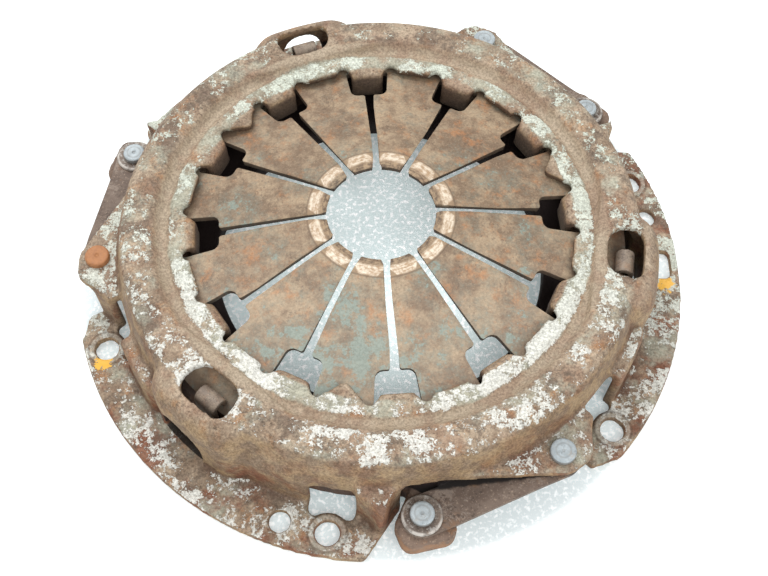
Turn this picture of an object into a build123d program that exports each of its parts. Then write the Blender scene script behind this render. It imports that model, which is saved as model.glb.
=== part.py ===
from build123d import *
import math
import os

# Clutch cover assembly with a diaphragm spring, in millimetres.
# +Z points away from the flywheel. Z = 0 is the face of the cover's flange that is
# bolted to the flywheel, and the Z axis is the axis of the clutch.
# Angles are in degrees, anticlockwise seen from above. The cover, the drive straps and
# the clips repeat at three stations, 120 degrees apart.

STATIONS = (0.0, 120.0, 240.0)

# ---- pressed steel cover ---------------------------------------------------------------
sheet = 3.4                     # thickness of the cover's steel
shelf_top = 23.6                # top of the ledge that carries the straps
lip_radius = 72.0               # inner edge of the flat lands
land_top = 35.7                 # top of the flat lands
land_outer = 78.7
crown_start = (84.7, 37.9)      # radius and height where the crown begins
crown_middle = (89.6, 38.5)
shoulder = (96.7, 38.1)         # corner of crown and wall before it is rounded
shoulder_round = 5.5
wall_foot_radius = 99.5         # outside of the dome where it meets the ledge
foot_round = 3.0
bead_radius = 81.2              # the pressed groove that the spring tilts on
bead_depth = 3.3
bead_round = 1.7
bead_rib_round = 2.6            # the rib under the bead that the spring tilts on
bead_rib_sharpness = 0.9
wall_radius = 105.0             # lower wall of a foot, outside
dip_radius = 101.3              # lower wall where it draws in beside the dowel
ledge_round = 2.6
flange_fillet = 2.2
plan_round = 3.0                # corners of the cover's outline

flange_radius = 119.6
flange_start = 73.3             # first edge of a foot, degrees
flange_nose_radius = 114.8
flange_full = 78.6              # the rim is at full radius from here on
flange_end_outer = (119.6, 148.6)
flange_end_inner = (100.5, 155.4)

edge_radius = 98.8              # free edge of the ledge beside the lug
edge_start = 43.5               # it leaves the dome towards the ear here, degrees
edge_corner_angle = 36.2
ear_radius = 114.8
ear_nose_angle = 66.0
ear_end_angle = 70.8            # the ear's end runs from here back to the wall
ear_wall_angle = 76.6
ear_nose_round = 5.0
dip_slope_from = 98.3           # the ledge's wall turns in behind the pushed-out wall
dip_from = 101.5
skirt_top = (98.6, 31.0)        # the dome's wall starts to lean out to that line here
skirt_round = 1.0
flare_from = 142.8              # the wall flares out from the dip to the end of a foot
flare_tip = (112.8, 151.7)
flare_neck = (102.3, 153.4)
flare_neck_round = 5.0
bulge_angle = 111.0             # middle of the part of the wall that is pushed out
bulge_radius = 105.2
bulge_top = 38.3
bulge_round = 12.5
bulge_full_half_angle = 6.5
bulge_root_half_angle = 20.0
bulge_root_radius = 95.5

# ---- openings and holes of the cover ---------------------------------------------------
bolt_circle_radius = 111.1
bolt_hole = 9.0
bolt_boss = 13.3
bolt_boss_height = 0.5
bolt_angles = (81.7, 141.7)
dowel_angle = 132.7
dowel_hole = 7.8
socket_inner = 99.7             # openings that clear a spanner on the bolts
socket_outer = 107.8
socket_flange_edge = 105.4
socket_width = 17.0
socket_round = 2.2
socket_top = 25.6
socket_top_round = 5.0
socket_seat = 15.4              # the flange keeps a round seat for the bolt's head
clip_window_angle = 111.8
clip_window_inner = 84.4
clip_window_outer = 97.9
clip_window_half_angle = 6.4
clip_window_inner_round = 6.5
clip_window_outer_round = 4.6
drain_from = 103.0              # slit at the foot of the pushed-out wall, degrees
drain_to = 113.5
drain_height = 4.4
slot_inner = 108.6              # hand slot in one foot only
slot_outer = 116.3
slot_from = 118.2
slot_to = 124.4
slot_round = 2.5
slot_station = 240.0

# ---- crimped tabs that hold the spring -------------------------------------------------
finger_count = 12
finger_pitch = 360.0 / finger_count
tab_angle = 5.9                 # first tab; the others follow at the finger pitch
tab_width = 13.0
tab_bend_inside = 1.25
tab_bend_radius = 73.6          # radius of the bend's centre from the axis
tab_end_radius = 81.4
notch_width = 4.6
notch_offset_angle = 7.7
notch_end_radius = 72.4
point_land_angle = 20.9         # lands drawn out to a point, one at each station
point_land_tip = 67.2
point_land_half_angle = 5.2
point_land_round = 2.0

# ---- diaphragm spring ------------------------------------------------------------------
spring_thickness = 2.4
spring_rim_radius = 92.4
spring_tip_radius = 20.2
spring_tip_height = 41.5        # top of the cone, if it ran on to the tip radius
spring_slope = 0.2              # fall of the cone per millimetre of radius
finger_bend_radius = 27.2       # the tips turn down inside this radius
finger_tip_curl = 18.0
finger_slot_width = 3.5
finger_slot_end = 61.5
window_inner = 60.4
window_outer = 75.5
window_half_angle = 6.6
window_inner_round = 3.3
window_outer_round = 2.6

# ---- wire ring under the spring --------------------------------------------------------
wire_diameter = 3.6
wire_circle_radius = 79.5
wire_clearance = 0.05

# ---- cast iron pressure plate ----------------------------------------------------------
plate_bore_radius = 64.0
plate_outer_radius = 96.8
plate_face = 1.8                # friction face in the free state
plate_top = 13.0
plate_inner_top = 11.6          # the casting is thinner inside the fulcrum ridge
plate_edge_chamfer = 1.0
plate_cast_round = 1.5
ridge_radius = 90.4             # where the plate pushes on the spring
ridge_crown_round = 2.0
ridge_foot_inner = 85.6
ridge_foot_outer = 93.8
running_gap = 0.3               # between pieces that move against each other
lug_top = 14.0
lug_bottom = 3.8
lug_behind = 9.7                # lug's edge from its rivet, away from the strap
lug_ahead = 10.2
lug_outer_behind = 8.0          # its outer edge, measured square to the strap
lug_outer_ahead = 11.4
lug_side_corner = 1.5
lug_side_root = 2.0
lug_root = 13.0
lug_round = 4.5
lug_edge = 0.8

# ---- drive straps, rivets and washers --------------------------------------------------
lug_rivet_radius = 108.1
lug_rivet_angle = 38.8
ear_rivet_radius = 107.2
ear_rivet_angle = 67.0
leaf_count = 3
leaf_thickness = 0.7
strap_width = 14.6
strap_flat_at_lug = 10.5        # length from the rivet that lies flat on the lug
strap_flat_at_ear = 10.0
strap_bend_round = 30.0
washer_diameter = 14.4
washer_thickness = 1.5
washer_chamfer = 0.4
rivet_clearance = 0.05
ear_rivet_shank = 6.4
ear_rivet_head = 9.2
ear_rivet_head_height = 2.4
ear_rivet_tail = 9.6
ear_rivet_tail_height = 2.0
lug_rivet_shank = 6.0
lug_rivet_head = 8.6
lug_rivet_head_height = 2.2
lug_rivet_tail = 9.4
lug_rivet_tail_height = 2.0
lug_counterbore = 11.4
lug_counterbore_depth = 2.8
head_round = 0.7
centre_pip = 1.6
centre_pip_depth = 0.35

# ---- retracting clips ------------------------------------------------------------------
clip_angle = 111.5
clip_width = 9.4
clip_thickness = 2.0
clip_outer_radius = 95.4
clip_arch_width = 7.0
clip_top = 33.0
clip_hook_top = 19.2            # the hook presses up on the ridge here
clip_hook_reach = 2.2
clip_hook_round = 0.5
clip_pocket_clearance = 0.6

# ---- sizes that follow -----------------------------------------------------------------
shelf_bottom = shelf_top - sheet
land_bottom = land_top - sheet
cone_angle = math.degrees(math.atan(spring_slope))
cone_cosine = math.cos(math.radians(cone_angle))
spring_upright = spring_thickness / cone_cosine
tab_bend_outside = tab_bend_inside + sheet


def spring_top_at(radius):
    """Height of the cone's upper face at a radius."""
    return spring_tip_height - spring_slope * (radius - spring_tip_radius)


def spring_bottom_at(radius):
    """Height of the cone's lower face at a radius."""
    return spring_top_at(radius) - spring_upright


bead_bottom = spring_top_at(bead_radius) + wire_clearance
wire_radius = wire_diameter / 2
wire_height = spring_bottom_at(wire_circle_radius) - (wire_radius + wire_clearance) / cone_cosine
tab_foot_top = wire_height - wire_radius
ridge_round_height = spring_bottom_at(ridge_radius) - (ridge_crown_round + running_gap) / cone_cosine
strap_top_at_ear = shelf_bottom
strap_top_at_lug = lug_top + leaf_count * leaf_thickness


# ---- drawing helpers -------------------------------------------------------------------
def polar(radius, angle):
    """Point in the plan at a radius and an angle."""
    return Vector(radius * math.cos(math.radians(angle)), radius * math.sin(math.radians(angle)))


def turned(shape, angle):
    """The shape turned about the clutch axis."""
    return shape.rotate(Axis.Z, angle)


def at_stations(shape):
    """The shape at each of the three stations."""
    return [turned(shape, station) for station in STATIONS]


def rounded_path(points, radii):
    """Edges of an open line through the points, with its corners rounded by tangent arcs."""
    corners = [Vector(*point) for point in points]
    edges = []
    here = corners[0]
    for before, corner, after, radius in zip(corners, corners[1:], corners[2:], radii):
        arriving = (corner - before).normalized()
        leaving = (after - corner).normalized()
        reach = radius * math.tan(math.radians(arriving.get_angle(leaving)) / 2)
        start = corner - arriving * reach
        end = corner + leaving * reach
        edges.append(Line(here, start))
        edges.append(TangentArc(start, end, tangent=arriving))
        here = end
    edges.append(Line(here, corners[-1]))
    return edges


def ring_sector(inner, outer, start, stop):
    """Plan face between two radii and two angles."""
    edges = [
        CenterArc((0, 0), outer, start, stop - start),
        Line(polar(outer, stop), polar(inner, stop)),
        CenterArc((0, 0), inner, start, stop - start),
        Line(polar(inner, start), polar(outer, start)),
    ]
    return make_face(edges)


def upright(face):
    """A face drawn as radius and height, stood up on the XZ plane."""
    return Plane.XZ * face


def prism(face, bottom, top):
    """Plan face raised from one height to another."""
    return Pos(0, 0, bottom) * extrude(face, top - bottom)


def nearest(vertices, point):
    """The vertex closest to a plan point."""
    return min(vertices, key=lambda vertex: (Vector(vertex.X, vertex.Y) - point).length)


# ---- cover -----------------------------------------------------------------------------
def cover_outline():
    """Plan of everything that stands above the flange: ledge, walls, ears and flared ends."""
    edges = []
    for station in STATIONS:
        corner = polar(edge_radius, station + edge_corner_angle)
        leaving = polar(edge_radius, station + edge_start)
        nose = polar(ear_radius, station + ear_nose_angle)
        ear_end = polar(ear_radius, station + ear_end_angle)
        wall_start = polar(wall_radius, station + ear_wall_angle)
        wall_end = polar(wall_radius, station + dip_slope_from)
        dip_start = polar(dip_radius, station + dip_from)
        flare_start = polar(dip_radius, station + flare_from)
        tip = polar(flare_tip[0], station + flare_tip[1])
        neck = polar(flare_neck[0], station + flare_neck[1])
        edges += [
            CenterArc((0, 0), edge_radius, station + edge_corner_angle, edge_start - edge_corner_angle),
            Line(leaving, nose),
            CenterArc((0, 0), ear_radius, station + ear_nose_angle, ear_end_angle - ear_nose_angle),
            Line(ear_end, wall_start),
            CenterArc((0, 0), wall_radius, station + ear_wall_angle, dip_slope_from - ear_wall_angle),
            Line(wall_end, dip_start),
            CenterArc((0, 0), dip_radius, station + dip_from, flare_from - dip_from),
            TangentArc(flare_start, tip, tangent=polar(1, station + flare_from + 90)),
            Line(tip, neck),
            Line(neck, polar(edge_radius, station + 120 + edge_corner_angle)),
        ]
    outline = make_face(edges)
    rounds = (
        (edge_radius, edge_corner_angle, 2 * plan_round),
        (edge_radius, edge_start, 3 * plan_round),
        (ear_radius, ear_nose_angle, ear_nose_round),
        (ear_radius, ear_end_angle, ear_nose_round),
        (wall_radius, ear_wall_angle, 2 * plan_round),
        (wall_radius, dip_slope_from, 2 * plan_round),
        (dip_radius, dip_from, 2 * plan_round),
        (*flare_tip, plan_round / 2),
        (*flare_neck, flare_neck_round),
    )
    for radius, angle, size in rounds:
        corners = [nearest(outline.vertices(), polar(radius, station + angle)) for station in STATIONS]
        outline = fillet(corners, size)
    return outline


def strap_gap():
    """Plan of the space between two feet, where a strap and a lug of the plate lie."""
    end_outer = polar(flange_end_outer[0], flange_end_outer[1] - 120)
    end_inner = polar(flange_end_inner[0], flange_end_inner[1] - 120)
    beyond = end_outer + (end_outer - end_inner)
    return make_face(
        Polyline(
            (0, 0),
            end_inner,
            beyond,
            polar(2 * flange_radius, (flange_start + flange_end_outer[1] - 120) / 2),
            polar(flange_radius + sheet, flange_full),
            polar(flange_radius, flange_full),
            polar(flange_nose_radius, flange_start),
            close=True,
        )
    )


def revolved(edges):
    """Full turn of the profile that a chain of edges closes."""
    return revolve(upright(make_face(edges)), Axis.Z)


def under(path, bottom):
    """Solid of revolution from the axis out to a path, and down to a height."""
    first = path[0] @ 0
    last = path[-1] @ 1
    return revolved(
        path
        + [
            Line(last, (last.X, bottom)),
            Line((last.X, bottom), (0, bottom)),
            Line((0, bottom), (0, first.Y)),
            Line((0, first.Y), first),
        ]
    )


def dome_top_path():
    """Upper face of the dome: land, bead, crown, wall and the start of the ledge."""
    points = [
        (lip_radius - sheet, land_top),
        (land_outer, land_top),
        (bead_radius, land_top - bead_depth),
        crown_start,
        crown_middle,
        shoulder,
        (wall_foot_radius, shelf_top),
        (wall_foot_radius + 1.5 * foot_round, shelf_top),
    ]
    radii = (bead_round, bead_round, bead_round, 10 * bead_round, shoulder_round, foot_round)
    return rounded_path(points, radii)


def dome_bottom_path():
    """Lower face of the dome, with the rib under the bead that the spring tilts on."""
    points = [
        (lip_radius - sheet, land_bottom),
        (land_outer - bead_round, land_bottom),
        (bead_radius, bead_bottom - bead_rib_sharpness),
        (crown_start[0] + bead_round, crown_start[1] - sheet),
        (crown_middle[0], crown_middle[1] - sheet),
        (shoulder[0] - sheet, shoulder[1] - sheet),
        (wall_foot_radius - sheet, shelf_bottom),
        (wall_foot_radius - sheet, shelf_bottom - sheet),
    ]
    inner_round = shoulder_round - sheet
    radii = (bead_round, bead_rib_round, bead_round, 3 * bead_round, inner_round, inner_round)
    return rounded_path(points, radii)


def bulge_plan():
    """Plan of the pushed-out wall: it swells out of the dome and back in two smooth curves."""
    edges = [CenterArc((0, 0), bulge_radius, bulge_angle - bulge_full_half_angle, 2 * bulge_full_half_angle)]
    roots = []
    for side in (-1, 1):
        full = polar(bulge_radius, bulge_angle + side * bulge_full_half_angle)
        root = polar(bulge_root_radius, bulge_angle + side * bulge_root_half_angle)
        away = polar(1, bulge_angle + side * (bulge_full_half_angle + 90))
        swell = TangentArc(full, (full + root) / 2, tangent=away)
        edges += [swell, TangentArc(swell @ 1, root, tangent=swell % 1)]
        roots.append(root)
    inner = [polar(crown_start[0], bulge_angle + side * bulge_root_half_angle) for side in (-1, 1)]
    edges += [Line(roots[0], inner[0]), Line(*inner), Line(inner[1], roots[1])]
    return make_face(edges)


def bulge(inset, bottom):
    """Pushed-out part of the wall at a depth under its outer face."""
    plan = offset(bulge_plan(), -inset) if inset else bulge_plan()
    body = prism(plan, bottom, bulge_top - inset)
    outward = polar(1, bulge_angle)
    level = body.edges().group_by(Axis.Z)[-1]
    rim = [edge for edge in level if edge.center().dot(outward) > crown_middle[0] - 1]
    return fillet(rim, bulge_round - inset)


def skirt():
    """Wall that runs on from the dome to the flange, past the dowel, where there is no ledge."""
    wall = ring_sector(crown_middle[0], wall_radius, bulge_angle, flare_from)
    points = [
        (crown_middle[0], shoulder[1] - shoulder_round),
        (skirt_top[0] - skirt_round / 4, skirt_top[1]),
        (dip_radius, shelf_bottom),
    ]
    return under(rounded_path(points, (skirt_round,)), sheet) & prism(wall, 0, shelf_top + shelf_top)


def plate_edges(shape, height, outline):
    """Edges at a height that run along a plan outline."""
    rim = outline.face().outer_wire()
    level = shape.edges().filter_by_position(Axis.Z, height - 0.01, height + 0.01)
    return [edge for edge in level if rim.distance_to((edge @ 0.5) - Vector(0, 0, height)) < 0.05]


def cover_blank():
    """The cover pressed to shape and trimmed, before its openings are cut."""
    plan = cover_outline()
    gaps = at_stations(strap_gap())
    raised = prism(plan, 0, shelf_top)
    raised = fillet(raised.edges().filter_by_position(Axis.Z, shelf_top, shelf_top), ledge_round)
    feet = raised + Pos(0, 0, sheet / 2) * Cylinder(flange_radius, sheet)
    feet = fillet(plate_edges(feet, sheet, plan), flange_fillet)
    ledges = []
    for gap in gaps:
        feet -= prism(gap, -sheet, 2 * shelf_top)
        ledges.append(prism(plan, shelf_bottom, shelf_top) & prism(gap, 0, 2 * shelf_top))
    dome = under(dome_top_path(), shelf_bottom) & prism(plan, 0, 2 * shelf_top)
    blank = feet + ledges + dome
    blank += at_stations(skirt())
    hollow = offset(plan, -sheet, kind=Kind.INTERSECTION) + Circle(dip_radius - sheet)
    inside = under(dome_bottom_path(), -sheet) + prism(hollow, -sheet, shelf_bottom)
    blank += at_stations(bulge(0, 0))
    inside += at_stations(bulge(sheet, -sheet))
    return blank - inside


def rounded_sector(inner, outer, start, stop, inner_round, outer_round):
    """Plan face between two radii and two angles, with its four corners rounded."""
    face = ring_sector(inner, outer, start, stop)
    near = [nearest(face.vertices(), polar(inner, angle)) for angle in (start, stop)]
    face = fillet(near, inner_round)
    far = [nearest(face.vertices(), polar(outer, angle)) for angle in (start, stop)]
    return fillet(far, outer_round)


def drill(radius, angle, diameter, bottom, top):
    """Round bar at a radius and an angle, for a hole or a boss."""
    centre = polar(radius, angle)
    return Pos(centre.X, centre.Y, (bottom + top) / 2) * Cylinder(diameter / 2, top - bottom)


def socket_cuts(angle):
    """Opening in ledge and wall beside a bolt hole, as far out as a spanner needs."""
    inside_radius = wall_foot_radius - sheet
    in_flange = RectangleRounded(socket_flange_edge - inside_radius, socket_width, socket_round)
    in_flange = Pos((inside_radius + socket_flange_edge) / 2, 0) * in_flange
    in_flange -= Pos(bolt_circle_radius, 0) * Circle(socket_seat / 2)
    in_wall = Rectangle(socket_outer - inside_radius, socket_width)
    in_wall = Pos((inside_radius + socket_outer) / 2, 0) * in_wall
    arch = Pos(0, socket_top / 2) * Rectangle(socket_width, socket_top)
    arch = fillet(arch.vertices().group_by(Axis.Y)[-1], socket_top_round)
    through_ledge = Pos(socket_inner, 0, sheet) * extrude(Plane.YZ * arch, socket_outer - socket_inner)
    cuts = [prism(in_flange, -sheet, sheet), prism(in_wall, sheet, shelf_bottom - sheet), through_ledge]
    return [turned(cut, angle) for cut in cuts]


def clip_window():
    """Opening in the crown through which a retracting clip is fitted."""
    face = rounded_sector(
        clip_window_inner,
        clip_window_outer,
        clip_window_angle - clip_window_half_angle,
        clip_window_angle + clip_window_half_angle,
        clip_window_inner_round,
        clip_window_outer_round,
    )
    return prism(face, shelf_top, 2 * land_top)


def cover_openings():
    """Everything that is punched out of the cover."""
    cuts = []
    for angle in bolt_angles:
        cuts += socket_cuts(angle)
    cuts.append(clip_window())
    drain = ring_sector(wall_foot_radius, socket_outer, drain_from, drain_to)
    cuts.append(prism(drain, sheet, sheet + drain_height))
    cuts.append(drill(bolt_circle_radius, dowel_angle, dowel_hole, -sheet, 2 * sheet))
    rivet_hole = ear_rivet_shank + 2 * rivet_clearance
    cuts.append(drill(ear_rivet_radius, ear_rivet_angle, rivet_hole, 0, 2 * shelf_top))
    return cuts


def crimped_tab():
    """One tab: it rolls down off the land, through the spring, and curls out under the ring."""
    top_centre = land_top - tab_bend_outside
    foot_centre = tab_foot_top + tab_bend_inside
    outer_face = tab_bend_radius - tab_bend_outside
    inner_face = tab_bend_radius - tab_bend_inside
    foot_bottom = tab_foot_top - sheet
    edges = [
        Line((tab_bend_radius + sheet, land_top), (tab_bend_radius, land_top)),
        CenterArc((tab_bend_radius, top_centre), tab_bend_outside, 90, 90),
        Line((outer_face, top_centre), (outer_face, foot_centre)),
        CenterArc((tab_bend_radius, foot_centre), tab_bend_outside, 180, 90),
        Line((tab_bend_radius, foot_bottom), (tab_end_radius, foot_bottom)),
        Line((tab_end_radius, foot_bottom), (tab_end_radius, tab_foot_top)),
        Line((tab_end_radius, tab_foot_top), (tab_bend_radius, tab_foot_top)),
        CenterArc((tab_bend_radius, foot_centre), tab_bend_inside, 180, 90),
        Line((inner_face, foot_centre), (inner_face, top_centre)),
        CenterArc((tab_bend_radius, top_centre), tab_bend_inside, 90, 90),
        Line((tab_bend_radius, land_bottom), (tab_bend_radius + sheet, land_bottom)),
        Line((tab_bend_radius + sheet, land_bottom), (tab_bend_radius + sheet, land_top)),
    ]
    return extrude(upright(make_face(edges)), tab_width / 2, both=True)


def throat():
    """Plan of the hole inside the lands, with a relief notch at both sides of each tab."""
    face = make_face(CenterArc((0, 0), lip_radius, 0, 360))
    tab_half_angle = math.degrees(math.asin(tab_width / 2 / tab_bend_radius))
    tab_gap = ring_sector(lip_radius - sheet, tab_bend_radius, -tab_half_angle, tab_half_angle)
    ends = [polar(notch_end_radius, side * notch_offset_angle) for side in (-1, 1)]
    notches = [Pos(*end) * Circle(notch_width / 2) for end in ends]
    for finger in range(finger_count):
        place = tab_angle + finger * finger_pitch
        face += [turned(shape, place) for shape in [tab_gap] + notches]
    return face


def pointed_land():
    """A land drawn in to a rounded point."""
    root = [polar(lip_radius + 1, point_land_angle + side * point_land_half_angle) for side in (-1, 1)]
    tip = polar(point_land_tip - point_land_round / 2, point_land_angle)
    face = make_face(Polyline(root[0], tip, root[1], close=True))
    face = fillet(nearest(face.vertices(), tip), point_land_round)
    return prism(face, land_bottom, land_top)


def make_cover():
    """Pressed steel cover with its feet, openings and crimped tabs."""
    cover = cover_blank()
    cuts = []
    for opening in cover_openings():
        cuts += at_stations(opening)
    slot = rounded_sector(slot_inner, slot_outer, slot_from, slot_to, slot_round, slot_round)
    cuts.append(turned(prism(slot, -sheet, 2 * sheet), slot_station))
    cuts.append(prism(throat(), shelf_top, 2 * land_top))
    cover -= cuts
    bosses = []
    holes = []
    for angle in bolt_angles:
        boss_top = sheet + bolt_boss_height
        boss = drill(bolt_circle_radius, angle, bolt_boss, sheet - bolt_boss_height, boss_top)
        boss = chamfer(boss.edges().group_by(Axis.Z)[-1], bolt_boss_height * 0.7)
        bosses += at_stations(boss)
        holes += at_stations(drill(bolt_circle_radius, angle, bolt_hole, -sheet, 3 * sheet))
    tabs = [turned(crimped_tab(), tab_angle + finger * finger_pitch) for finger in range(finger_count)]
    cover += bosses + tabs + at_stations(pointed_land())
    return cover - holes


# ---- spring and ring -------------------------------------------------------------------
def make_diaphragm_spring():
    """Slotted conical spring: a closed rim, and fingers whose tips curl down."""
    bend_top = spring_top_at(finger_bend_radius)
    cone = math.radians(cone_angle)
    reach = finger_bend_radius - spring_tip_radius
    curl = math.asin(reach / finger_tip_curl - math.sin(cone))
    tip_height = bend_top + finger_tip_curl * (math.cos(curl) - math.cos(cone))
    tip_top = Vector(spring_tip_radius, tip_height)
    tip_bottom = tip_top + Vector(math.sin(curl), -math.cos(curl)) * spring_thickness
    rim_top = Vector(spring_rim_radius, spring_top_at(spring_rim_radius))
    normal = Vector(-spring_slope, -1).normalized() * spring_thickness
    rim_bottom = rim_top + normal
    bend = Vector(finger_bend_radius, bend_top)
    inward = Vector(-1, spring_slope)
    edges = [
        Line(rim_top, bend),
        TangentArc(bend, tip_top, tangent=inward),
        Line(tip_top, tip_bottom),
        TangentArc(bend + normal, tip_bottom, tangent=inward),
        Line(bend + normal, rim_bottom),
        Line(rim_bottom, rim_top),
    ]
    disc = revolved(edges)
    slot = Pos(spring_tip_radius + finger_slot_end / 2, 0) * Rectangle(finger_slot_end, finger_slot_width)
    window = rounded_sector(
        window_inner,
        window_outer,
        -window_half_angle,
        window_half_angle,
        window_inner_round,
        window_outer_round,
    )
    opening = prism(slot + window, 0, 2 * spring_tip_height)
    return disc - [turned(opening, tab_angle + finger * finger_pitch) for finger in range(finger_count)]


def make_fulcrum_ring():
    """Wire ring that the spring tilts on from below."""
    return Pos(0, 0, wire_height) * Torus(wire_circle_radius, wire_radius)


# ---- pressure plate --------------------------------------------------------------------
def strap_direction():
    """Unit vectors in the plan along a strap, from lug to ear, and square to it, outwards."""
    lug = polar(lug_rivet_radius, lug_rivet_angle)
    ear = polar(ear_rivet_radius, ear_rivet_angle)
    along = (ear - lug).normalized()
    return along, Vector(along.Y, -along.X)


def from_lug(along_distance, outward_distance):
    """Plan point measured from the lug's rivet along the strap and outwards."""
    along, outward = strap_direction()
    return polar(lug_rivet_radius, lug_rivet_angle) + along * along_distance + outward * outward_distance


def lug():
    """One of the plate's three lugs, with the hole for its rivet."""
    behind_corner = from_lug(-lug_behind, lug_outer_behind)
    ahead_corner = from_lug(lug_ahead, lug_outer_ahead)
    face = make_face(
        Polyline(
            from_lug(-lug_behind, -lug_side_corner),
            behind_corner,
            ahead_corner,
            from_lug(lug_ahead, -lug_root),
            from_lug(lug_side_root, -lug_root),
            close=True,
        )
    )
    face = fillet([nearest(face.vertices(), corner) for corner in (behind_corner, ahead_corner)], lug_round)
    block = prism(face, lug_bottom, lug_top)
    block = chamfer(block.edges().group_by(Axis.Z)[-1] + block.edges().group_by(Axis.Z)[0], lug_edge)
    return block


def clip_pocket():
    """Pocket in the ridge's flank that a clip hooks into."""
    depth = clip_outer_radius - clip_thickness - clip_hook_reach - clip_pocket_clearance
    height = clip_thickness + clip_pocket_clearance
    width = clip_width + 2 * clip_pocket_clearance
    pocket = Box(plate_outer_radius - depth, width, height, align=(Align.MIN, Align.CENTER, Align.MAX))
    return turned(Pos(depth, 0, clip_hook_top) * pocket, clip_angle)


def make_pressure_plate():
    """Cast iron ring with its friction face, fulcrum ridge and three lugs."""
    crown = Vector(ridge_radius, ridge_round_height)
    chamfered = plate_edge_chamfer
    outer = rounded_path(
        [
            (plate_bore_radius + chamfered, plate_face),
            (plate_outer_radius - chamfered, plate_face),
            (plate_outer_radius, plate_face + chamfered),
            (plate_outer_radius, plate_top),
            (ridge_foot_outer, plate_top),
            (ridge_radius + ridge_crown_round, ridge_round_height),
        ],
        (0.1, 0.1, plate_cast_round, plate_cast_round),
    )
    inner = rounded_path(
        [
            (ridge_radius - ridge_crown_round, ridge_round_height),
            (ridge_foot_inner, plate_inner_top),
            (plate_bore_radius, plate_inner_top),
            (plate_bore_radius, plate_face + chamfered),
            (plate_bore_radius + chamfered, plate_face),
        ],
        (plate_cast_round, plate_cast_round, 0.1),
    )
    ridge_top = ThreePointArc(outer[-1] @ 1, crown + Vector(0, ridge_crown_round), inner[0] @ 0)
    plate = revolved(outer + [ridge_top] + inner)
    plate += at_stations(lug())
    hole = drill(
        lug_rivet_radius, lug_rivet_angle, lug_rivet_shank + 2 * rivet_clearance, 0, lug_top + leaf_thickness
    )
    counterbore = drill(
        lug_rivet_radius, lug_rivet_angle, lug_counterbore, 0, lug_bottom + lug_counterbore_depth
    )
    return plate - at_stations(hole) - at_stations(counterbore) - at_stations(clip_pocket())


# ---- straps and fasteners --------------------------------------------------------------
def make_strap_leaf(layer):
    """Spring steel leaf at station 0; layer 0 is the uppermost."""
    along, _ = strap_direction()
    length = (polar(ear_rivet_radius, ear_rivet_angle) - polar(lug_rivet_radius, lug_rivet_angle)).length
    drop = Vector(0, layer * leaf_thickness)
    upper = [
        Vector(-strap_width, strap_top_at_lug) - drop,
        Vector(strap_flat_at_lug, strap_top_at_lug) - drop,
        Vector(length - strap_flat_at_ear, strap_top_at_ear) - drop,
        Vector(length + strap_width, strap_top_at_ear) - drop,
    ]
    lower = [point - Vector(0, leaf_thickness) for point in upper]
    over = rounded_path(upper, (strap_bend_round, strap_bend_round))
    beneath = rounded_path(lower, (strap_bend_round, strap_bend_round))
    face = make_face(
        over + beneath + [Line(over[0] @ 0, beneath[0] @ 0), Line(over[-1] @ 1, beneath[-1] @ 1)]
    )
    ribbon = extrude(upright(face), strap_width, both=True)
    plan = Pos(length / 2, 0) * SlotCenterToCenter(length, strap_width)
    plan -= Circle((lug_rivet_shank + 2 * rivet_clearance) / 2)
    plan -= Pos(length, 0) * Circle((ear_rivet_shank + 2 * rivet_clearance) / 2)
    leaf = ribbon & prism(plan, 0, shelf_top)
    heading = math.degrees(math.atan2(along.Y, along.X))
    start = polar(lug_rivet_radius, lug_rivet_angle)
    return Pos(start.X, start.Y, 0) * Rot(0, 0, heading) * leaf


def rivet(head, head_height, shank, tail, tail_height, seat, tail_seat):
    """Rivet on the Z axis: round head above its seat, shank, and the formed tail below."""
    top = Pos(0, 0, seat + head_height / 2) * Cylinder(head / 2, head_height)
    top = fillet(top.edges().group_by(Axis.Z)[-1], head_round)
    pip = Pos(0, 0, seat + head_height) * Cylinder(centre_pip / 2, 2 * centre_pip_depth)
    bottom = Pos(0, 0, tail_seat - tail_height / 2) * Cylinder(tail / 2, tail_height)
    bottom = fillet(bottom.edges().group_by(Axis.Z)[0], head_round)
    middle = Pos(0, 0, (seat + tail_seat) / 2) * Cylinder(shank / 2, seat - tail_seat)
    return top - pip + middle + bottom


def make_cover_rivets():
    """Three rivets that hold the straps to the cover's ears."""
    one = rivet(
        ear_rivet_head,
        ear_rivet_head_height,
        ear_rivet_shank,
        ear_rivet_tail,
        ear_rivet_tail_height,
        shelf_top,
        strap_top_at_ear - leaf_count * leaf_thickness,
    )
    return Compound(at_stations(Pos(*polar(ear_rivet_radius, ear_rivet_angle)) * one))


def make_lug_rivets():
    """Three rivets that hold the straps to the plate's lugs."""
    one = rivet(
        lug_rivet_head,
        lug_rivet_head_height,
        lug_rivet_shank,
        lug_rivet_tail,
        lug_rivet_tail_height,
        strap_top_at_lug + washer_thickness,
        lug_bottom + lug_counterbore_depth,
    )
    return Compound(at_stations(Pos(*polar(lug_rivet_radius, lug_rivet_angle)) * one))


def make_washer():
    """Washer between a strap and the head of its lug rivet, at station 0."""
    middle = strap_top_at_lug + washer_thickness / 2
    blank = Pos(0, 0, middle) * Cylinder(washer_diameter / 2, washer_thickness)
    blank = chamfer(blank.edges().group_by(Axis.Z)[-1], washer_chamfer)
    washer = blank - Cylinder(lug_rivet_shank / 2 + rivet_clearance, 4 * shelf_top)
    return Pos(*polar(lug_rivet_radius, lug_rivet_angle)) * washer


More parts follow.
